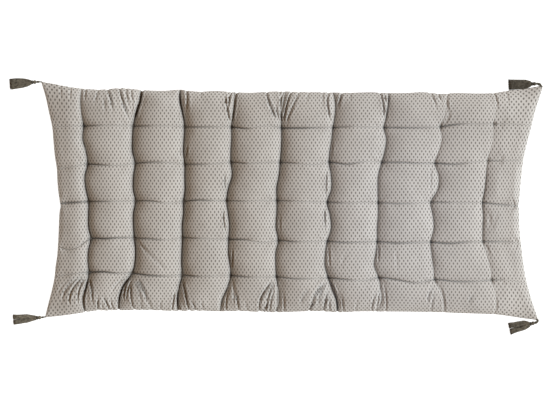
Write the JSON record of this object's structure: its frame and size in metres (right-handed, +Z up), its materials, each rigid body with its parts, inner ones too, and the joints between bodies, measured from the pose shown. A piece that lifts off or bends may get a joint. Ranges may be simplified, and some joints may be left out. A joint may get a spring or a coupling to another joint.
{
  "type": "tufted floor mattress",
  "caption": "Rectangular tufted floor mattress with drawn-in sides, gathered long seams, deep cross folds and a tassel on a short cord at each corner.",
  "frame": {"origin": "on the floor under the middle of the whole object, tassels included", "axes": "+X along the mattress's long side, +Y along its short side, +Z up from the floor"},
  "size_m": [2.0509, 0.9845, 0.0735],
  "materials": {
    "printed_cotton": "matt woven cotton in pale greige with a small staggered print of darker dots",
    "tassel_yarn": "soft cotton yarn in dark grey olive",
    "tassel_cord": "twisted cotton cord in dark grey olive",
    "binding_thread": "tightly wound cotton thread, darker than the yarn"
  },
  "bodies": {
    "root": {"mattress": "printed_cotton", "tassel_top_left": "tassel_yarn", "tassel_bottom_left": "tassel_yarn", "tassel_top_right": "tassel_yarn", "tassel_bottom_right": "tassel_yarn", "binding_top_left": "binding_thread", "binding_bottom_left": "binding_thread", "binding_top_right": "binding_thread", "binding_bottom_right": "binding_thread", "cord_top_left": "tassel_cord", "cord_bottom_left": "tassel_cord", "cord_top_right": "tassel_cord", "cord_bottom_right": "tassel_cord"}
  },
  "joints": []
}
